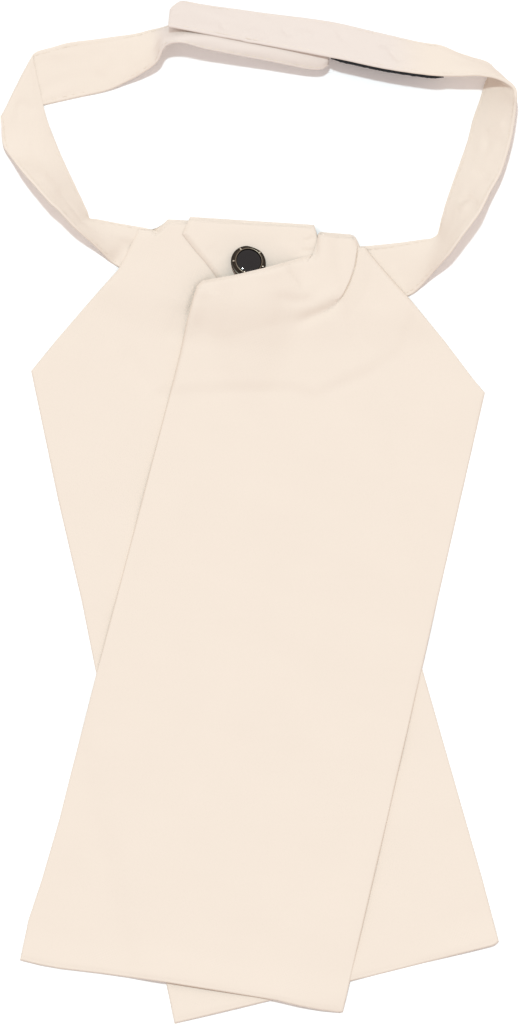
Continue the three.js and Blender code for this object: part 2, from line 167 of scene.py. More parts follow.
# Its creases, between two rows: the line each follows, how wide it is and how high, minus for a trough.
BAND_CREASES = [
    {
        "rows": (51, 57),
        "creases": [
            {"line": [[-14.5, 174.8], [-10.8, 172.1]], "width": 1.0, "height": -0.55},
            {"line": [[-6.8, 169.2], [1.1, 170.3], [4.5, 172.6]], "width": 1.1, "height": -0.55},
            {"line": [[-6.0, 171.0], [0.4, 172.0]], "width": 1.2, "height": 0.44},
            {"line": [[8.2, 173.8], [11.6, 169.8]], "width": 1.0, "height": -0.55},
            {"line": [[12.6, 169.8], [16.0, 171.4], [20.1, 170.8]], "width": 1.1, "height": 0.55},
            {"line": [[27.6, 173.4], [29.4, 170.6], [30.9, 167.9]], "width": 1.0, "height": -0.48},
            {"line": [[42.2, 166.6], [47.0, 167.9], [51.6, 167.6]], "width": 1.0, "height": -0.55},
            {"line": [[45.9, 167.1], [48.7, 163.5], [51.6, 160.2]], "width": 1.0, "height": -0.62},
        ],
    },
    {
        "rows": (37, 42),
        "creases": [
            {"line": [[71.0, 110.8], [75.5, 112.4], [79.6, 109.4]], "width": 1.3, "height": -0.77},
            {"line": [[72.0, 108.6], [76.0, 109.4]], "width": 1.6, "height": 0.44},
        ],
    },
    {
        "rows": (38, 43),
        "creases": [
            {"line": [[77.0, 123.4], [81.0, 120.2], [84.0, 119.6]], "width": 1.8, "height": -0.48},
        ],
    },
    {
        "rows": (40, 44),
        "creases": [
            {"line": [[81.5, 136.2], [85.5, 138.4], [89.5, 139.6]], "width": 1.6, "height": 0.55},
            {"line": [[80.0, 131.8], [85.0, 133.0], [89.0, 132.2]], "width": 2.0, "height": -0.48},
        ],
    },
    {
        "rows": (13, 17),
        "creases": [
            {"line": [[-88.0, 147.0], [-84.0, 145.6], [-80.5, 142.6]], "width": 2.0, "height": -0.44},
        ],
    },
    {
        "rows": (17, 20),
        "creases": [
            {"line": [[-80.0, 122.0], [-75.0, 116.5], [-71.0, 113.5]], "width": 2.2, "height": 0.48},
        ],
    },
    {
        "rows": (7, 11),
        "creases": [
            {"line": [[-52.0, 167.0], [-56.0, 161.0], [-57.5, 155.5]], "width": 2.6, "height": 0.44},
        ],
    },
]

# Hook tape: where it runs, in rows of the band and shares of its width
TAPE_ROWS = (50.75, 53.1)
TAPE_ACROSS = (0.0, 0.75)
TAPE_WIDTH = 14
TAPE_CELLS = (0.7, 0.8)  # the spacing of its mesh along it and across it
TAPE_THICK = 0.85
TAPE_HOOKS = (0.1, 1.6)  # the height and the wavelength of its hooks
TAPE_FLARE = 3.0  # how far the tape's inner part stands off the band
TAPE_TAPER = 5.0  # how long the taper at each of its ends would be from nothing
TAPE_END = 0.15  # the share of the taper that is cut off

# Blades and knot. Each line runs from a piece's left edge to its right edge.
TURN = 0.9  # how far in from a turned-down edge the cloth lies flat on the table
TOP_FOLD = [[-20.2, 83.0], [-8.3, 85.0], [2.2, 87.5], [12.6, 90.4], [20.0, 92.6]]
TOP_EDGE = [[21.4, 100.5], [32.8, 99.6]]
TOP_SHOULDER = [[34.6, 98.9], [35.7, 96.6], [36.4, 95.0], [38.2, 94.9]]
TOP_LINE = TOP_FOLD + TOP_EDGE + TOP_SHOULDER
TOP_TURNED = [[23.2, 100.4], [32.8, 99.6]]  # the part of the edge that turns down
TOP_HEM = [
    [-86.0, -161.6], [-78.8, -163.4], [-71.6, -164.7], [-57.2, -166.4], [-33.8, -169.6],
    [5.8, -176.0], [14.8, -178.2], [22.0, -179.6], [29.0, -180.5], [30.2, -180.2],
]
TOP_SPLIT = 0.5  # the share of the top blade's columns that lie left of its pleat
TOP_BLADE = [
    {"line": TOP_LINE, "guide": 8},
    {"line": [[-22.3, 81.0], [34.9, 89.5], [42.7, 89.4]], "guide": 1},
    {"line": [[-23.6, 77.0], [34.3, 86.0], [45.6, 86.0]], "guide": 1},
    {"line": [[-25.8, 69.0], [29.8, 76.6], [54.6, 76.0]], "guide": 1},
    {"line": [[-28.4, 57.0], [23.5, 61.0], [66.5, 61.6]], "guide": 1},
    {"line": [[-31.0, 46.5], [19.4, 47.0], [77.4, 47.2]], "guide": 1},
    {"line": [[-32.0, 42.5], [18.5, 42.5], [81.3, 42.6]], "guide": 1},
    {"line": [[-58.0, -56.5], [0.5, -56.5], [58.7, -56.5]], "guide": 1},
    {"line": [[-68.3, -96.8], [-12.0, -99.0], [49.4, -97.0]], "guide": 1},
    {"line": [[-71.9, -111.2], [-17.0, -115.0], [46.2, -111.2]], "guide": 1},
    {"line": [[-78.2, -132.8], [-25.0, -138.0], [40.9, -134.0]], "guide": 1},
    {"line": [[-83.0, -147.2], [-30.0, -154.0], [37.4, -149.0]], "guide": 1},
    {"line": TOP_HEM, "guide": 4},
]
UNDER_HEM = [
    [-30.4, -184.4], [-6.8, -178.8], [43.2, -166.7], [72.4, -159.4], [84.8, -156.3], [86.3, -154.8],
]
UNDER_TOP_EDGE = [[-36.9, 100.9], [-32.8, 105.0], [-25.5, 104.6], [18.4, 100.6]]
UNDER_BLADE = [
    {"line": UNDER_TOP_EDGE},
    {"line": [[-43.4, 101.3], [-37.0, 98.6], [19.0, 97.0]]},
    {"line": [[-45.4, 97.2], [19.8, 94.0]]},
    {"line": [[-47.9, 92.2], [20.5, 86.5]]},
    {"line": [[-50.8, 86.8], [21.2, 79.6]]},
    {"line": [[-60.5, 76.0], [24.0, 68.0]]},
    {"line": [[-72.9, 61.6], [26.8, 57.0]]},
    {"line": [[-82.0, 50.4], [29.5, 47.2]]},
    {"line": [[-72.3, 4.0], [41.7, 4.0]]},
    {"line": [[-63.9, -32.0], [51.8, -32.0]]},
    {"line": [[-59.0, -56.5], [58.7, -56.5]]},
    {"line": [[-38.0, -148.0], [80.5, -132.8]]},
    {"line": UNDER_HEM},
]
KNOT_WRAP = [
    {"line": [[-24.8, 105.9], [19.8, 103.0]]},
    {"line": [[-27.6, 99.6], [21.2, 98.8]]},
    {"line": [[-23.8, 94.7], [22.2, 95.0]]},
    {"line": [[-18.3, 88.2], [21.8, 91.1]]},
    {"line": [[-12.6, 80.3], [21.0, 86.0]]},
]
# How wide each is taken to be, which sets how many columns its grid has
UNDER_WIDTH = 110
TOP_WIDTH = 112
WRAP_WIDTH = 47
BLADE_CELL = 1.15
WRAP_CELL = 0.55

# Where an edge comes down more gently: its line, the radius there and how far from the line it reaches
EAR_EDGE = [[-38.0, 100.2], [-43.4, 101.3], [-45.4, 97.2], [-53.6, 83.2]]
EAR_SOFT = (3.2, 5)
WRAP_SOFT = (3.2, 4)
FOLD_SOFT = (3.0, 6.0, 7)  # a radius at its left end, a radius at its right end and the reach
FOLD_CHANGE = (0.4, 0.3)  # the share along it where the radius starts to change, and over how much
EDGE_STEPS = (0.05, 0.16, 0.36, 0.62, 0.95, 1.4)  # closer lines beside an edge

# Past the edge of what it lies on, cloth keeps its height for SEAM and comes down over one of these
DRAPE = 12
DRAPE_OVER_BAND = 17
DRAPE_OVER_KNOT = 32
SEAM = 3.0

# Tack
TACK = (-4.1, 88.8, 4.25)  # the middle of its foot
TACK_LEAN = 22  # how far it leans, in degrees, and which way
TACK_LEANS_TO = 68
TACK_RADIUS = 6.25
TACK_MIDDLE = (-3.7, 90.4)  # what the fold over the tack is lifted about
TACK_CLEAR = 4.9  # how far that fold is lifted
TENT = 48  # how far below the tack the cloth comes down again
TENT_NARROW = 2.7  # how many times sooner it does so to the left and right
TENT_START = 1.0  # how far out from the tack it starts to come down
# Parts of the tack, as places of (radius, height). A round has its middle's, then half its own size.
FOOT = [(0, 0), (4.9, 0), (5.3, 0.15), (5.8, 0.7), (6.1, 1.3)]  # from the middle of its foot to the rim
RIM_ROUND = (6.05, 1.85, 0.3, 0.35)
RIM_TURN = 2.0  # how far below its top the round begins, in radians
CUP_SLOPE = [(5.7, 2.3), (5.4, 2.6), (5.15, 3.05), (4.95, 3.4), (4.8, 3.35), (4.7, 3.0)]
CUP_FLOOR = [(4.65, 1.8), (0, 1.8)]
RING_ROUND = (4.78, 3.42, 0.18, 0.16)
# Each claw's angle in degrees, its distance from the axis and its height on the setting
CLAWS = [
    [41, 5.35, 2.75],
    [121, 5.35, 2.75],
    [180, 5.35, 2.75],
    [249, 4.8, 3.5],
    [298, 5.35, 2.75],
    [340, 5.35, 2.75],
]
CLAW_SIZE = (0.55, 0.34, 0.42)  # half its size outward, across and up
STONE_FOOT = 2.3
STONE_EDGE = 3.15  # how high its domed face starts
STONE_RADIUS = 4.55
DOME_FLAT = 3.1  # radius of the stone's nearly flat middle
DOME_SLOPE = 2.0  # its slope at that radius, in degrees
DOME_ROLL = 17  # how many degrees a millimetre the stone's edge rolls off

# Form of the top blade
INNER_FOLD = 0.55  # how much the layer folded in under the knot raises the cloth
INNER_FOLD_RISE = 5
INNER_FOLD_LINE = [[-40, 40.5], [-10.4, 42.8], [11.2, 42.5], [20.2, 40.0], [36.4, 47.2], [52, 56], [60, 80]]
PLEAT = 1.0  # the step at its line
PLEAT_RISE = (0.4, 7.0)  # sharp at its top, soft where it runs out
PLEAT_CREVICE = (0.55, 0.2)  # how deep and how wide the dark line beside it is
PLEAT_SLOPE = (0.9, 9.0)  # how far the cloth right of it falls off, and over how much
PLEAT_LINE = [[36.6, 98.0], [35.6, 94.0], [34.6, 87.5], [32.8, 82.4], [30.2, 77.0], [22.0, 69.5], [8, 64]]
SLIT = [[-18.0, 86.5], [-22.0, 81.4], [-23.8, 76.0], [-25.9, 67.5], [-27.6, 60.0]]
SLIT_LIFT = (2.6, 5.0)  # how far the left edge is lifted off the cloth below, and how far in

# Creases: the line each follows, how wide it is and how high, minus for a trough.
TOP_CREASES = [
    {"line": [[4.5, 77.6], [12.0, 75.4], [21.5, 75.8]], "width": 1.8, "height": -0.4},
    {"line": [[4.0, 80.6], [13.0, 79.6], [24.0, 80.6]], "width": 3.0, "height": 0.25},
    {"line": [[32.0, 77.4], [25.0, 73.4], [18.0, 69.4], [12.0, 66.0]], "width": 2.0, "height": -0.9},
    {"line": [[33.0, 80.0], [26.0, 77.4], [18.0, 73.6]], "width": 2.4, "height": 0.35},
    {"line": [[-8.0, 81.0], [-9.5, 70.0], [-12.0, 60.0]], "width": 3.0, "height": 0.25},
    {"line": [[2.0, 82.5], [4.5, 74.0], [5.0, 66.0]], "width": 2.5, "height": 0.2},
    {"line": [[40.0, 88.0], [41.5, 80.0], [46.0, 70.0]], "width": 3.0, "height": -0.25},
    {"line": [[-24.8, 40.7], [-10.4, 42.5], [11.2, 42.5]], "width": 2.2, "height": -0.15},
    {"line": [[20.0, 40.0], [32.0, 46.0], [47.0, 50.8]], "width": 2.5, "height": -0.2},
    {"line": [[-30.0, 10.0], [-8.0, 2.0], [20.0, 4.0]], "width": 9.0, "height": 0.2},
    {"line": [[10.0, -40.0], [24.0, -62.0], [26.0, -90.0]], "width": 8.0, "height": -0.2},
]
UNDER_CREASES = [
    {"line": [[-15.4, 84.6], [-21.9, 80.5], [-23.8, 75.6], [-26.4, 67.0]], "width": 0.8, "height": -0.9},
    {"line": [[-27.0, 76.0], [-29.5, 68.0], [-31.5, 60.0]], "width": 3.2, "height": -0.4},
    {"line": [[-50.0, 60.0], [-44.0, 51.0], [-39.0, 42.0]], "width": 3.0, "height": -0.3},
    {"line": [[-55.0, 62.0], [-50.0, 50.0], [-46.0, 40.0]], "width": 3.5, "height": 0.2},
    {"line": [[-36.0, 44.0], [-33.0, 40.0]], "width": 3.0, "height": -0.3},
    {"line": [[-44.0, 90.0], [-38.0, 82.0], [-34.0, 72.0]], "width": 3.5, "height": 0.25},
]
WRAP_CREASES = [
    {"line": [[20.3, 99.0], [17.8, 97.4], [15.5, 97.2]], "width": 0.7, "height": -0.35},
    {"line": [[20.3, 94.2], [17.5, 93.4], [15.0, 94.0]], "width": 0.8, "height": -0.3},
    {"line": [[-22.0, 101.5], [-6.0, 101.0], [10.0, 99.5]], "width": 3.5, "height": 0.15},
    {"line": [[-18.0, 96.0], [-13.0, 90.0]], "width": 2.5, "height": -0.2},
    {"line": [[6.0, 96.5], [14.0, 92.5]], "width": 2.5, "height": 0.2},
]
HEM_LINE = 0.95  # how far in from the hem its fine line runs
HEM_GROOVE = (0.22, 0.25)  # how deep and how wide
HEM_LIFT = 0.7  # the hems stand off the table by about this
HEM_LIFT_REACH = 14.0
HEM_WAVE = (0.6, 60)  # by what share that varies, and over which wavelength

# Light
SKY = 0.74
SKY_COLOR = (1.1, 0.97, 0.93)
SUN = 1.83
SUN_COLOR = (0.776, 0.947, 1.0)
SUN_TRAVEL = (0.04, -0.305, -1.0)
SUN_SIZE = 3.0  # in degrees

# Colours
COTTON = (0.754, 0.662, 0.574)
# painted shade: a darker, pinker cotton that stands in for shade on the band's two standing ends
COTTON_PAINTED_END_SHADE = (0.713, 0.633, 0.579)
END_SHADE_ABOVE = (0.150, 0.160)  # where the painted shade on the band's ends begins, in metres along Y
END_SHADE_BETWEEN = ((-0.040, -0.033), (0.062, 0.045))  # and along X
THREAD = (0.77, 0.68, 0.58)
BLACK_TAPE = (0.012, 0.012, 0.014)
GUNMETAL = (0.045, 0.037, 0.029)
# painted highlight: the ring beside the stone is a lighter copy of the setting's metal, showing as a bright
# ring
RING_METAL_PAINTED_HIGHLIGHT = (0.2, 0.17, 0.13)
# painted highlight: the claws are real beads, but their metal is a brighter copy of the setting's so that
# they show as bright dots
CLAW_METAL_PAINTED_HIGHLIGHT = (0.62, 0.57, 0.48)
ONYX = (0.004, 0.004, 0.005)
WHITE = (0.97, 0.97, 0.97)

# Weave, with its distances in metres
THREADS = (560, 0.6)  # how fine they are and how uneven
SLUBS = (900, 0.8)  # how fine they are and how strong beside the threads
WEAVE_BUMP = (0.22, 0.0001)  # the strength and the height of its relief
MOTTLE = (45, 0.5, 0.965)  # how fine it is, how strong, and its colour's share of the cotton's
TAPE_BUMP = (0.6, 0.0003, 2200)  # the tape's strength and height, and how fine its hooks are

# Table, in metres
TABLE_SIZE = 5.0
TABLE_TOP = -0.0001


# Lines and distances


def lengths(line):
    """How far along a line each of its points lies."""
    steps = np.linalg.norm(np.diff(np.asarray(line, float), axis=0), axis=1)
    return np.concatenate([[0.0], np.cumsum(steps)])


def along(line, shares):
    """The points at some shares of the way along a line."""
    at = lengths(line)
    return np.stack([np.interp(shares * at[-1], at, column) for column in np.transpose(line)], axis=-1)


def ease(t):
    """A rise from 0 to 1 as t goes from 0 to 1."""
    t = np.clip(t, 0, 1)
    return t * t * (3 - 2 * t)


def distance_to(line, x, y):
    """The distance from each (x, y) to a line, + on its left, and the share of the way along it."""
    at = lengths(line)
    best = np.full(x.shape, np.inf)
    side = np.ones(x.shape)
    share = np.zeros(x.shape)
    places = np.asarray(line, float)
    for i, (a, b) in enumerate(zip(places, places[1:])):
        dx, dy = b - a
        t = np.clip(((x - a[0]) * dx + (y - a[1]) * dy) / (dx * dx + dy * dy), 0, 1)
        distance = np.hypot(x - a[0] - t * dx, y - a[1] - t * dy)
        nearer = distance < best - 1e-9
        best = np.where(nearer, distance, best)
        side = np.where(nearer, np.where(dx * (y - a[1]) - dy * (x - a[0]) >= 0, 1, -1), side)
        share = np.where(nearer, (at[i] + t * (at[i + 1] - at[i])) / at[-1], share)
    return best * side, share


def depth_inside(outline, x, y):
    """How deep each (x, y) lies inside a closed outline; minus outside it."""
    closed = [*outline, outline[0]]
    within = np.zeros(x.shape, bool)
    for (ax, ay), (bx, by) in zip(closed, closed[1:]):
        if ay != by:
            crosses = (ay > y) != (by > y)
            within ^= crosses & (x < (bx - ax) * (y - ay) / (by - ay) + ax)
    reach = np.abs(distance_to(closed, x, y)[0])
    return np.where(within, reach, -reach)


def outline_of(piece):
    """The closed outline of a piece that is given by lines across it."""
    left = [row["line"][0] for row in piece]
    right = [row["line"][-1] for row in piece]
    top = piece[0]["line"][1:-1]
    bottom = piece[-1]["line"][1:-1][::-1]
    return [left[0], *top, *right, *bottom, *left[:0:-1]]


def spline(points, t):
    """Places on the smooth curve through some points; t is 0 at the first and 1 more at each next."""
    p = np.vstack([2 * points[0] - points[1], points, 2 * points[-1] - points[-2]])
    i = np.clip(t.astype(int), 0, len(points) - 2)
    p0, p1, p2, p3 = p[i], p[i + 1], p[i + 2], p[i + 3]
    spans = ((p0, p1), (p1, p2), (p2, p3))
    d0, d1, d2 = (np.sqrt(np.linalg.norm(b - a, axis=1, keepdims=True)) for a, b in spans)
    out = ((p1 - p0) / d0 - (p2 - p0) / (d0 + d1) + (p2 - p1) / d1) * d1
    back = ((p2 - p1) / d1 - (p3 - p1) / (d1 + d2) + (p3 - p2) / d2) * d1
    f = (t - i)[:, None]
    return p1 + out * f + (3 * (p2 - p1) - 2 * out - back) * f**2 + (2 * (p1 - p2) + out + back) * f**3


def ripple(x, y, wavelength, seed, waves=9):
    """A gentle unevenness of about -1 to 1, the same on every run."""
    draw = np.random.RandomState(seed)
    total = np.zeros(np.shape(x))
    for _ in range(waves):
        angle, phase = draw.uniform(0, 2 * math.pi, 2)
        turns = 2 * math.pi / (wavelength * draw.uniform(0.7, 1.6))
        total += np.sin(turns * (x * math.cos(angle) + y * math.sin(angle)) + phase)
    return total / math.sqrt(waves)


def rounded(depth, radius):
    """How full a rounded edge is at a depth inside it."""
    t = np.clip(depth / radius, 0, 1)
    return np.maximum(np.sqrt(1 - (1 - t) ** 2), RIM)


def creases(rows, x, y):
    """The height that a list of creases adds."""
    total = np.zeros(x.shape)
    for row in rows:
        distance, share = distance_to(row["line"], x, y)
        fade = ease(share / 0.3) * ease((1 - share) / 0.3)
        total += row["height"] * fade * np.exp(-((distance / row["width"]) ** 2))
    return total


# Meshes


def shell(name, upper, lower):
    """A closed thin piece between two grids of points, in millimetres."""
    rows, columns = upper.shape[:2]
    points = np.concatenate([upper.reshape(-1, 3), lower.reshape(-1, 3)]) * MM
    index = np.arange(2 * rows * columns).reshape(2, rows, columns)

    def quads(a, b, c, d):
        return np.stack([a.ravel(), b.ravel(), c.ravel(), d.ravel()], axis=1)

    top, under = index
    faces = [
        quads(top[:-1, :-1], top[1:, :-1], top[1:, 1:], top[:-1, 1:]),
        quads(under[:-1, :-1], under[:-1, 1:], under[1:, 1:], under[1:, :-1]),
        quads(top[0, :-1], top[0, 1:], under[0, 1:], under[0, :-1]),
        quads(top[-1, 1:], top[-1, :-1], under[-1, :-1], under[-1, 1:]),
        quads(top[1:, 0], top[:-1, 0], under[:-1, 0], under[1:, 0]),
        quads(top[:-1, -1], top[1:, -1], under[1:, -1], under[:-1, -1]),
    ]
    return mesh_object(name, points.tolist(), np.concatenate(faces).tolist())


def mesh_object(name, points, faces):
    """A smooth piece from its points in metres and its faces."""
    mesh = bpy.data.meshes.new(name)
    mesh.from_pydata(points, [], faces)
    work = bmesh.new()
    work.from_mesh(mesh)
    bmesh.ops.recalc_face_normals(work, faces=work.faces)
    work.to_mesh(mesh)
    work.free()
    mesh.shade_smooth()
    piece = bpy.data.objects.new(name, mesh)
    bpy.context.collection.objects.link(piece)
    return piece


def on_tack(radius, side, height, angle):
    """A place on the leaning tack: its radius, side step and height, at an angle about the tack's axis."""
    lean, to = math.radians(TACK_LEAN), math.radians(TACK_LEANS_TO)
    turn = angle - to
    ahead = radius * math.cos(turn) - side * math.sin(turn)
    across = radius * math.sin(turn) + side * math.cos(turn)
    forward = ahead * math.cos(lean) + height * math.sin(lean)
    up = height * math.cos(lean) - ahead * math.sin(lean)
    x = TACK[0] + forward * math.cos(to) - across * math.sin(to)
    y = TACK[1] + forward * math.sin(to) + across * math.cos(to)
    return x, y, TACK[2] + up


def turned(name, profile, sides=96):
    """A round piece on the tack's axis, from its outline of (radius, height) points in millimetres."""
    points = []
    for k in range(sides):
        points += [on_tack(r, 0, z, 2 * math.pi * k / sides) for r, z in profile]
    count = len(profile)
    faces = []
    for k in range(sides):
        here, there = k * count, (k + 1) % sides * count
        faces += [(here + i, there + i, there + i + 1, here + i + 1) for i in range(count - 1)]
    piece = mesh_object(name, (np.array(points) * MM).tolist(), faces)
    work = bmesh.new()
    work.from_mesh(piece.data)
    bmesh.ops.remove_doubles(work, verts=work.verts, dist=1e-6)
    bmesh.ops.recalc_face_normals(work, faces=work.faces)
    work.to_mesh(piece.data)
    work.free()
    return piece


def spacing(span, cell):
    """Shares from 0 to 1 over a span, about a cell apart, with closer lines beside both ends."""
    steps = np.array([0.0, *EDGE_STEPS])
    inner = np.linspace(steps[-1], span - steps[-1], max(2, round((span - 2 * steps[-1]) / cell)))
    return np.unique(np.concatenate([steps, inner, span - steps[::-1]])) / span


def row_points(row, columns, split):
    """The points of one line across a piece. A guide is the point of the line where the split falls."""
    line = np.asarray(row["line"], float)
    if "guide" not in row:
        return along(line, columns)
    at = lengths(line)
    share = at[row["guide"]] / at[-1]
    left = columns[columns < split] / split * share
    right = share + (columns[columns >= split] - split) / (1 - split) * (1 - share)
    return along(line, np.concatenate([left, right]))


def grid_of(piece, cell, width, split=None):
    """The (x, y) of a grid of points over a piece."""
    if split is None:
        columns = spacing(width, cell)
    else:
        left = spacing(width * split, cell) * split
        columns = np.concatenate([left[:-1], split + spacing(width * (1 - split), cell) * (1 - split)])
    lines = [row_points(row, columns, split) for row in piece]
    middles = np.array([line[len(line) // 2] for line in lines])
    at = lengths(middles)
    places = spacing(at[-1], cell) * at[-1]
    places = np.unique(np.concatenate([places, at]))
    rows = []
    for place in places:
        i = min(np.searchsorted(at, place, side="right") - 1, len(at) - 2)
        share = (place - at[i]) / (at[i + 1] - at[i])
        rows.append(lines[i] * (1 - share) + lines[i + 1] * share)
    grid = np.array(rows)
    return grid[..., 0], grid[..., 1]


# Heights, from the table up


def draped(depth, reach):
    """The share of its height that cloth keeps at a depth inside what it lies on, minus beside it."""
    return ease((depth + SEAM + reach) / reach)


def flat_band_outline():
    """The outline of the stretch of band that lies flat under the knot."""
    flat = BAND_STATIONS[BAND_FLAT[0]:BAND_FLAT[1] + 1]
    return [*flat[:, 0:2].tolist(), *flat[::-1, 3:5].tolist()]


BAND_OUTLINE = flat_band_outline()
UNDER_OUTLINE = outline_of(UNDER_BLADE)
WRAP_OUTLINE = outline_of(KNOT_WRAP)
TOP_OUTLINE = outline_of(TOP_BLADE)


def turned_down(edge, x, y):
    """1 on the part of a top edge that turns down to the table."""
    return 1 - ease((np.abs(distance_to(edge, x, y)[0]) - TURN) / GAP)


def over_band(x, y):
    """The height of cloth laid over the flat band."""
    return (CLOTH + GAP) * draped(depth_inside(BAND_OUTLINE, x, y), DRAPE_OVER_BAND)


def over_under_blade(x, y):
    """The height of cloth laid over the under blade."""
    return (over_band(x, y) + CLOTH + GAP) * draped(depth_inside(UNDER_OUTLINE, x, y), DRAPE)


def wrap_height(x, y):
    """The height at which the knot wrap lies."""
    return np.maximum(over_under_blade(x, y), over_band(x, y))


def over_wrap(x, y):
    """The height of cloth laid over the knot wrap."""
    return (wrap_height(x, y) + CLOTH + GAP) * draped(depth_inside(WRAP_OUTLINE, x, y), DRAPE_OVER_KNOT)


def over_tack(x, y):
    """How far the tack holds up the cloth over it."""
    reach = np.hypot((x - TACK_MIDDLE[0]) * TENT_NARROW, y - TACK_MIDDLE[1]) - TACK_RADIUS
    return TACK_CLEAR * ease(1 - (reach - TENT_START) / TENT)


def top_blade_height(x, y):
    """The height at which the top blade lies."""
    laid = np.maximum(np.maximum(over_band(x, y), over_under_blade(x, y)), over_wrap(x, y))
    distance, share = distance_to(SLIT, x, y)
    height, reach = SLIT_LIFT
    lift = height * np.exp(-((distance / reach) ** 2)) * ease(share / 0.3) * ease((1 - share) / 0.5)
    return laid + over_tack(x, y) + lift


def pleat(x, y):
    """The step of the pleat at the right shoulder, with the crevice beside it."""
    distance, share = distance_to(PLEAT_LINE, x, y)
    soft = ease((share - 0.5) / 0.3)
    rise = PLEAT_RISE[0] + (PLEAT_RISE[1] - PLEAT_RISE[0]) * soft
    step = PLEAT * ease(-distance / rise) * ease((1 - share) / 0.25)
    deep, wide = PLEAT_CREVICE
    crevice = deep * (1 - soft) * np.exp(-(((distance + wide / 2) / wide) ** 2))
    fall, reach = PLEAT_SLOPE
    slope = fall * (1 - soft) * ease(-distance / reach)
    return step - crevice - slope


def hem_line(piece, x, y):
    """The fine line beside a hem."""
    distance, _ = distance_to(piece[-1]["line"], x, y)
    deep, wide = HEM_GROOVE
    return -deep * np.exp(-(((np.abs(distance) - HEM_LINE) / wide) ** 2))


def hem_lift(piece, x, y, seed):
    """How far a hem stands off the table, more in some places than in others."""
    distance, _ = distance_to(piece[-1]["line"], x, y)
    uneven_lift = HEM_LIFT * (1 + HEM_WAVE[0] * ripple(x, y, HEM_WAVE[1], seed))
    return np.maximum(uneven_lift, 0) * (1 - ease(np.abs(distance) / HEM_LIFT_REACH))


def laid_cloth(name, grid, outline, base, relief, radius=EDGE_RADIUS):
    """A cloth piece that lies at a height, with its upper face raised and lowered by the relief."""
    x, y = grid
    depth = np.abs(depth_inside(outline, x, y))
    full = rounded(depth, radius)
    settled = np.minimum(GAP - EDGE_GAP, base) * (1 - ease(depth / SETTLE))
    under = base - settled
    upper = np.stack([x, y, under + full * CLOTH + relief * ease(depth / RELIEF_RISE)], axis=-1)
    lower = np.stack([x, y, under], axis=-1)
    return shell(name, upper, lower)


def uneven(x, y, seed):
    """The slight unevenness of pressed cotton."""
    return sum(height * ripple(x, y, wave, seed + i) for i, (height, wave) in enumerate(UNEVEN))


def softer(line, x, y, radius, reach):
    """The edge radius over a piece, where it is larger near a line."""
    near = 1 - ease(np.abs(distance_to(line, x, y)[0]) / reach)
    return EDGE_RADIUS + (radius - EDGE_RADIUS) * near


def under_blade():
    x, y = grid_of(UNDER_BLADE, BLADE_CELL, UNDER_WIDTH)
    base = over_band(x, y) * (1 - turned_down(UNDER_TOP_EDGE, x, y))
    base += hem_lift(UNDER_BLADE, x, y, SEEDS["under_hem"])
    relief = creases(UNDER_CREASES, x, y) + hem_line(UNDER_BLADE, x, y)
    relief += uneven(x, y, SEEDS["under_blade"])
    radius = softer(EAR_EDGE, x, y, *EAR_SOFT)
    return laid_cloth("under_blade_cloth", (x, y), UNDER_OUTLINE, base, relief, radius)


def knot_wrap():
    x, y = grid_of(KNOT_WRAP, WRAP_CELL, WRAP_WIDTH)
    base = wrap_height(x, y) * (1 - turned_down(KNOT_WRAP[0]["line"], x, y))
    relief = creases(WRAP_CREASES, x, y) + 0.5 * uneven(x, y, SEEDS["wrap"])
    left_edge = [row["line"][0] for row in KNOT_WRAP]
    radius = softer(left_edge, x, y, *WRAP_SOFT)
    return laid_cloth("knot_wrap_cloth", (x, y), WRAP_OUTLINE, base, relief, radius)


def top_blade():
    x, y = grid_of(TOP_BLADE, BLADE_CELL, TOP_WIDTH, TOP_SPLIT)
    base = top_blade_height(x, y) * (1 - turned_down(TOP_TURNED, x, y))
    base += hem_lift(TOP_BLADE, x, y, SEEDS["top_hem"])
    inner = INNER_FOLD * ease(distance_to(INNER_FOLD_LINE, x, y)[0] / INNER_FOLD_RISE)
    relief = inner + pleat(x, y) + creases(TOP_CREASES, x, y) + hem_line(TOP_BLADE, x, y)
    relief += uneven(x, y, SEEDS["top_blade"])
    left, right, reach = FOLD_SOFT
    change = ease((distance_to(TOP_FOLD, x, y)[1] - FOLD_CHANGE[0]) / FOLD_CHANGE[1])
    radius = softer(TOP_FOLD, x, y, left + (right - left) * change, reach)
    return laid_cloth("top_blade_cloth", (x, y), TOP_OUTLINE, base, relief, radius)


# Neck band


def bow(t, across):
    """The bow of the end underneath, at rows t and shares across."""
    fade = 1 - ease((t - BOW_ROWS[0]) / (BOW_ROWS[1] - BOW_ROWS[0]))
    share = np.where(across < BOW_PEAK, across / BOW_PEAK, (1 - across) / (1 - BOW_PEAK))
    return BOW * fade[:, None] * np.sin(share * math.pi / 2)[None, :]


def band_surface(t, across):
    """The band's middle surface and the direction square to it, at rows t and shares across."""
    standing = spline(BAND_STATIONS[:, :3], t)[:, None, :]
    lying = spline(BAND_STATIONS[:, 3:], t)[:, None, :]
    surface = standing + (lying - standing) * across[None, :, None]
    surface[..., 2] = np.maximum(surface[..., 2], CLOTH / 2) + bow(t, across)
    square = np.cross(np.gradient(surface, axis=0), np.gradient(surface, axis=1))
    return surface, square / np.linalg.norm(square, axis=2, keepdims=True)


def even_rows(first, last, cell):
    """Rows of the band from one to another, an even cell apart along its middle."""
    t = np.linspace(first, last, 4000)
    middle = (spline(BAND_STATIONS[:, :3], t) + spline(BAND_STATIONS[:, 3:], t)) / 2
    at = lengths(middle)
    return np.interp(np.linspace(0, at[-1], round(at[-1] / cell) + 1), at, t), at[-1]


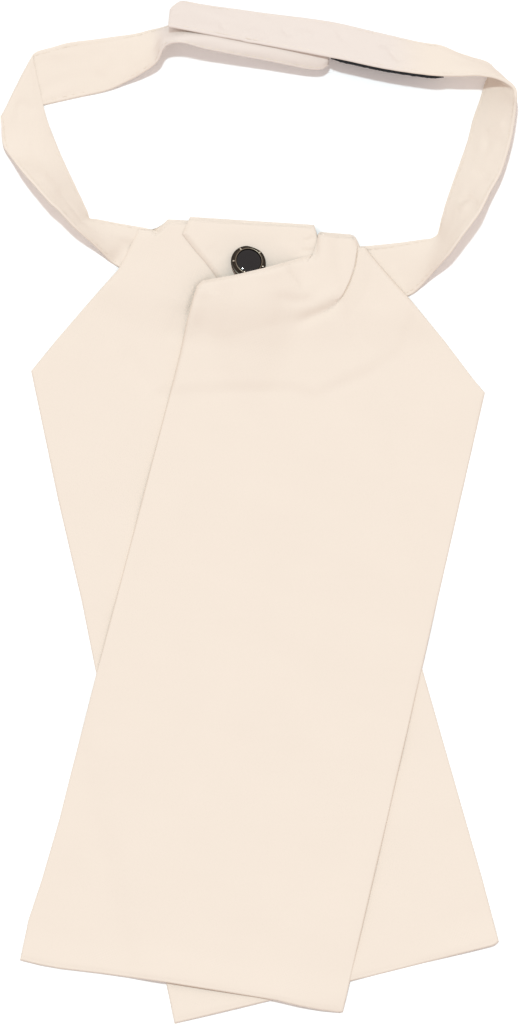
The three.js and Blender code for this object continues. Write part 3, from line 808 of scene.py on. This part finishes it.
def neck_band():
    """The band, and its length along its middle."""
    rows, length = even_rows(0, len(BAND_STATIONS) - 1, BAND_CELL)
    across = spacing(BAND_WIDTH, BAND_CELL)
    surface, square = band_surface(rows, across)
    run = np.linspace(0, length, len(rows))[:, None] + 0 * across[None, :]
    inset = np.minimum(across, 1 - across)[None, :] * BAND_WIDTH + 0 * run
    depth = np.minimum(inset, np.minimum(run, length - run))
    from_stitches = depth - STITCH_INSET
    groove = STITCH_GROOVE[0] * np.exp(-((from_stitches / STITCH_GROOVE[1]) ** 2))
    height, wavelength, reach = PUCKER
    pucker = height * ripple(run, inset, wavelength, SEEDS["pucker"])
    pucker *= np.exp(-((from_stitches / reach) ** 2))
    corner = np.exp(-(((rows - CORNER_ROWS[0]) / CORNER_ROWS[1]) ** 2))[:, None] * (across > 0.5)[None, :]
    half = rounded(depth, EDGE_RADIUS + (CORNER_SOFT - EDGE_RADIUS) * corner) * CLOTH / 2 - groove
    wave = pucker + BAND_UNEVEN[0] * ripple(run, 2 * inset, BAND_UNEVEN[1], SEEDS["band"]) * ease(depth / 3)
    upward = np.sign(square[..., 2])
    for stretch in BAND_CREASES:
        first, last = stretch["rows"]
        inside = ((rows > first) & (rows < last))[:, None]
        wave += creases(stretch["creases"], surface[..., 0], surface[..., 1]) * inside * upward
    upper = surface + square * (half + wave)[..., None]
    lower = surface - square * (half - wave)[..., None]
    for face in (upper, lower):
        face[..., 2] = np.maximum(face[..., 2], 0)
    return shell("neck_band_cloth", upper, lower), length


def stitch(place, up, on):
    """One stitch at a place on the band: its points, with up square to the band and on along it."""
    side = np.cross(on, up)
    middle = place + up * (CLOTH - STITCH_GROOVE[0]) / 2
    points = []
    for reach, full in STITCH_RINGS:
        for k in range(STITCH_SIDES):
            angle = 2 * math.pi * k / STITCH_SIDES
            ring = (side * math.cos(angle) + up * math.sin(angle) * STITCH_FLAT) * full * STITCH_THICK / 2
            points.append((middle + on * reach * STITCH_LENGTH / 2 + ring) * MM)
    return points


def stitch_faces(start):
    """The faces of a stitch whose points begin at a number."""
    sides, last = STITCH_SIDES, start + (len(STITCH_RINGS) - 1) * STITCH_SIDES
    faces = []
    for here in range(start, last, sides):
        for k in range(sides):
            a, b = here + k, here + (k + 1) % sides
            faces.append((a, b, b + sides, a + sides))
    faces.append(tuple(range(start, start + sides)))
    faces.append(tuple(range(last + sides - 1, last - 1, -1)))
    return faces


def stitches():
    """A row of stitches near each edge of the band, on both of its faces."""
    last_row = len(BAND_STATIONS) - 1
    rows, _ = even_rows(STITCH_END, last_row - STITCH_END, STITCH_PITCH)
    inset = STITCH_INSET / BAND_WIDTH
    across = np.array([0.0, inset, 2 * inset, 0.5, 1 - 2 * inset, 1 - inset, 1.0])
    surface, square = band_surface(rows, across)
    ahead = np.gradient(surface, axis=0)
    ahead /= np.linalg.norm(ahead, axis=2, keepdims=True)
    standing, lying = 1, 5  # the two columns that are sewn
    points, faces = [], []
    for column in (standing, lying):
        for face in (1, -1):
            for i, row in enumerate(rows):
                if column == lying and CORNER_BARE[0] < row < CORNER_BARE[1]:
                    continue
                faces += stitch_faces(len(points))
                points += stitch(surface[i, column], square[i, column] * face, ahead[i, column])
    return mesh_object("band_stitching", [p.tolist() for p in points], faces)


def hook_tape():
    """The tape inside the end on top, which tapers to its ends and flares off the band."""
    rows, _ = even_rows(*TAPE_ROWS, TAPE_CELLS[0])
    across = TAPE_ACROSS[0] + (TAPE_ACROSS[1] - TAPE_ACROSS[0]) * spacing(TAPE_WIDTH, TAPE_CELLS[1])
    surface, square = band_surface(rows, across)
    if square[:, :, 2].mean() < 0:
        square = -square
    height, wavelength = TAPE_HOOKS
    hooks = height * ripple(surface[..., 0], surface[..., 2] + surface[..., 1], wavelength, SEEDS["hooks"])
    run = lengths(surface[:, 0])
    taper = ease(np.minimum(run, run[-1] - run) / TAPE_TAPER + TAPE_END)[:, None]
    near = -(CLOTH / 2 + EDGE_GAP)
    flare = TAPE_FLARE * ease((across - across[0]) / 0.5)[None, :] * taper
    upper = surface + square * (near - flare)[..., None]
    lower = surface + square * (near - flare - (TAPE_THICK + hooks) * taper)[..., None]
    return shell("hook_tape_strip", upper, lower)


# Tack


def arc(middle, height, wide, tall, angles):
    """(radius, height) points on a round, at some angles from its top."""
    return [(middle + wide * math.sin(a), height + tall * math.cos(a)) for a in angles]


def tack():
    """The setting, a ring beside the stone in a lighter metal that paints a highlight ring, the claws and
    the stone.
    """
    rim = arc(*RIM_ROUND, np.linspace(RIM_TURN, 0, 9))
    setting = turned("tack_setting_metal", [*FOOT, *rim, *CUP_SLOPE, *CUP_FLOOR])
    ring = turned("tack_inner_ring", arc(*RING_ROUND, math.pi / 2 - np.linspace(0, 2 * math.pi, 17)))
    stone = turned("tack_stone_dome", [(0, STONE_FOOT), (STONE_RADIUS, STONE_FOOT), *dome(STONE_EDGE)])
    claws = [claw(k + 1, *row) for k, row in enumerate(CLAWS)]
    return setting, ring, claws, stone


def dome(height):
    """The stone's outline from its edge at a height to its middle, nearly flat with a rolled edge."""
    radius = np.linspace(0, STONE_RADIUS, 45)
    slope = np.radians(DOME_SLOPE * radius / DOME_FLAT + DOME_ROLL * np.maximum(radius - DOME_FLAT, 0))
    fall = np.concatenate([[0], np.cumsum(np.tan(slope[1:]) * np.diff(radius))])
    return [(r, height + fall[-1] - f) for r, f in zip(radius[::-1], fall[::-1])]


def claw(number, angle, radius, height):
    """One small claw, a bead drawn out towards the stone."""
    mesh = bpy.data.meshes.new(f"tack_claw_{number}")
    work = bmesh.new()
    bmesh.ops.create_uvsphere(work, u_segments=16, v_segments=10, radius=1)
    work.to_mesh(mesh)
    work.free()
    out, across, up = CLAW_SIZE
    for v in mesh.vertices:
        place = on_tack(v.co.x * out + radius, v.co.y * across, v.co.z * up + height, math.radians(angle))
        v.co = [c * MM for c in place]
    mesh.shade_smooth()
    piece = bpy.data.objects.new(mesh.name, mesh)
    bpy.context.collection.objects.link(piece)
    return piece


# Materials


def material(name, color, roughness, metallic=0.0, specular=0.5):
    """A plain material, with its tree and its shader."""
    made = bpy.data.materials.new(name)
    made.use_nodes = True
    shader = made.node_tree.nodes["Principled BSDF"]
    shader.inputs["Base Color"].default_value = (*color, 1)
    shader.inputs["Roughness"].default_value = roughness
    shader.inputs["Metallic"].default_value = metallic
    shader.inputs["Specular IOR Level"].default_value = specular
    return made, made.node_tree, shader


def noise(tree, coordinates, scale, detail):
    """A cloudy share from 0 to 1."""
    node = tree.nodes.new("ShaderNodeTexNoise")
    node.inputs["Scale"].default_value = scale
    node.inputs["Detail"].default_value = detail
    tree.links.new(coordinates, node.inputs["Vector"])
    return node.outputs["Fac"]


def math_node(tree, operation, a, b):
    """The result of an operation on two values, each a number or a socket."""
    node = tree.nodes.new("ShaderNodeMath")
    node.operation = operation
    for socket, value in zip(node.inputs, (a, b)):
        if isinstance(value, (int, float)):
            socket.default_value = value
        else:
            tree.links.new(value, socket)
    return node.outputs[0]


def mixed(tree, share, a, b):
    """A mix of two colours, each a tuple or a socket."""
    node = tree.nodes.new("ShaderNodeMix")
    node.data_type = "RGBA"
    tree.links.new(share, node.inputs["Factor"])
    for socket, value in ((node.inputs[6], a), (node.inputs[7], b)):
        if isinstance(value, tuple):
            socket.default_value = (*value, 1)
        else:
            tree.links.new(value, socket)
    return node.outputs[2]


def turned_place(tree, degrees):
    """Object coordinates, and the same turned about the vertical so that the weave runs with the piece."""
    place = tree.nodes.new("ShaderNodeTexCoord")
    mapping = tree.nodes.new("ShaderNodeMapping")
    mapping.inputs["Rotation"].default_value = (0, 0, math.radians(degrees))
    tree.links.new(place.outputs["Object"], mapping.inputs["Vector"])
    return place.outputs["Object"], mapping.outputs["Vector"]


def ramp_between(tree, value, start, end):
    """A share that goes from 0 to 1 as a value goes from a start to an end."""
    ramp = tree.nodes.new("ShaderNodeMapRange")
    ramp.interpolation_type = "SMOOTHSTEP"
    ramp.inputs["From Min"].default_value = start
    ramp.inputs["From Max"].default_value = end
    tree.links.new(value, ramp.inputs["Value"])
    return ramp.outputs["Result"]


def bumped(tree, shader, height, strength, distance):
    """Gives a shader a relief from a socket of heights."""
    bump = tree.nodes.new("ShaderNodeBump")
    bump.inputs["Strength"].default_value = strength
    bump.inputs["Distance"].default_value = distance
    tree.links.new(height, bump.inputs["Height"])
    tree.links.new(bump.outputs["Normal"], shader.inputs["Normal"])


def cotton(name, degrees, paint_end_shade=False):
    """Plain-woven cotton, its weave turned by some degrees. When asked, the band's two ends are painted a
    darker, pinker shade.
    """
    made, tree, shader = material(name, COTTON, 0.92, specular=0.15)
    place, woven = turned_place(tree, degrees)
    threads = []
    for direction in ("X", "Y"):
        wave = tree.nodes.new("ShaderNodeTexWave")
        wave.bands_direction = direction
        wave.inputs["Scale"].default_value = THREADS[0]
        wave.inputs["Distortion"].default_value = THREADS[1]
        wave.inputs["Detail"].default_value = 1
        tree.links.new(woven, wave.inputs["Vector"])
        threads.append(wave.outputs["Fac"])
    weave = math_node(tree, "MULTIPLY", *threads)
    slubs = math_node(tree, "MULTIPLY", noise(tree, woven, SLUBS[0], 3), SLUBS[1])
    bumped(tree, shader, math_node(tree, "ADD", weave, slubs), *WEAVE_BUMP)
    fineness, strength, darker = MOTTLE
    mottle = math_node(tree, "MULTIPLY", noise(tree, place, fineness, 4), strength)
    color = mixed(tree, mottle, COTTON, tuple(c * darker for c in COTTON))
    # painted shade: the band's two standing ends are mixed towards a darker, pinker cotton
    if paint_end_shade:
        split = tree.nodes.new("ShaderNodeSeparateXYZ")
        tree.links.new(place, split.inputs[0])
        share = ramp_between(tree, split.outputs["Y"], *END_SHADE_ABOVE)
        for reach in END_SHADE_BETWEEN:
            share = math_node(tree, "MULTIPLY", share, ramp_between(tree, split.outputs["X"], *reach))
        color = mixed(tree, share, color, COTTON_PAINTED_END_SHADE)
    tree.links.new(color, shader.inputs["Base Color"])
    return made


def black_tape():
    """Black hook tape, rough with its small hooks."""
    made, tree, shader = material("black_hook_tape", BLACK_TAPE, 0.85, specular=0.3)
    place = tree.nodes.new("ShaderNodeTexCoord").outputs["Object"]
    strength, distance, fineness = TAPE_BUMP
    bumped(tree, shader, noise(tree, place, fineness, 2), strength, distance)
    return made


def dress(piece, made, replaces=None):
    """Gives a piece its material, hangs it under the root body and hides the solid that it stands for."""
    piece.data.materials.clear()
    piece.data.materials.append(made)
    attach(piece, "root")
    if replaces:
        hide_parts(replaces)


# Stage


def camera():
    """The camera, straight above."""
    data = bpy.data.cameras.new("camera")
    data.sensor_width = SENSOR
    data.lens = SENSOR * EYE_HEIGHT / PICTURE_LENGTH
    data.clip_start, data.clip_end = 0.1, 40
    eye = bpy.data.objects.new("camera", data)
    eye.location = (*PICTURE_CENTRE, EYE_HEIGHT)
    bpy.context.collection.objects.link(eye)
    bpy.context.scene.camera = eye


def light():
    """An even sky and a sun that leans from the picture's top."""
    world = bpy.data.worlds.new("studio")
    world.use_nodes = True
    background = world.node_tree.nodes["Background"]
    background.inputs["Color"].default_value = (*SKY_COLOR, 1)
    background.inputs["Strength"].default_value = SKY
    bpy.context.scene.world = world
    data = bpy.data.lights.new("key", "SUN")
    data.energy = SUN
    data.color = SUN_COLOR
    data.angle = math.radians(SUN_SIZE)
    key = bpy.data.objects.new("key", data)
    key.rotation_euler = Vector(SUN_TRAVEL).to_track_quat("-Z", "Y").to_euler()
    bpy.context.collection.objects.link(key)


def floor():
    """The white table."""
    corners = [(-1, -1), (1, -1), (1, 1), (-1, 1)]
    points = [(x * TABLE_SIZE, y * TABLE_SIZE, TABLE_TOP) for x, y in corners]
    table = mesh_object("table_top", points, [(0, 1, 2, 3)])
    table.data.materials.append(material("white_table", WHITE, 0.9, specular=0.1)[0])


def view_settings():
    """Plain colours, as they are."""
    settings = bpy.context.scene.view_settings
    settings.view_transform = "Standard"
    settings.look = "None"
    settings.exposure = 0
    settings.gamma = 1


camera()
view_settings()
light()
floor()

band, band_length = neck_band()
dress(band, cotton("cotton_band", 0, paint_end_shade=True), "neck_band")
stitching = stitches()
dress(stitching, material("thread", THREAD, 0.8, specular=0.2)[0])

tape = hook_tape()
dress(tape, black_tape(), "hook_tape")

under = under_blade()
dress(under, cotton("cotton_under_blade", -14), "under_blade")

wrap = knot_wrap()
dress(wrap, cotton("cotton_knot", 3), "knot_wrap")

top = top_blade()
dress(top, cotton("cotton_top_blade", 14), "top_blade")

gunmetal = material("gunmetal", GUNMETAL, 0.35, metallic=1)[0]
# painted highlight: a lighter copy of the setting's metal for the ring beside the stone
ring_metal_painted_highlight = material("ring_metal_painted_highlight", RING_METAL_PAINTED_HIGHLIGHT, 0.3, metallic=1)[0]
# painted highlight: a brighter copy of the setting's metal for the claws
claw_metal_painted_highlight = material("claw_metal_painted_highlight", CLAW_METAL_PAINTED_HIGHLIGHT, 0.22, metallic=1)[0]
onyx = material("onyx", ONYX, 0.06)[0]
setting, inner_ring, claws, stone = tack()
dress(setting, gunmetal, "tack_setting")
dress(inner_ring, ring_metal_painted_highlight)
for bead in claws:
    dress(bead, claw_metal_painted_highlight)
dress(stone, onyx, "tack_stone")
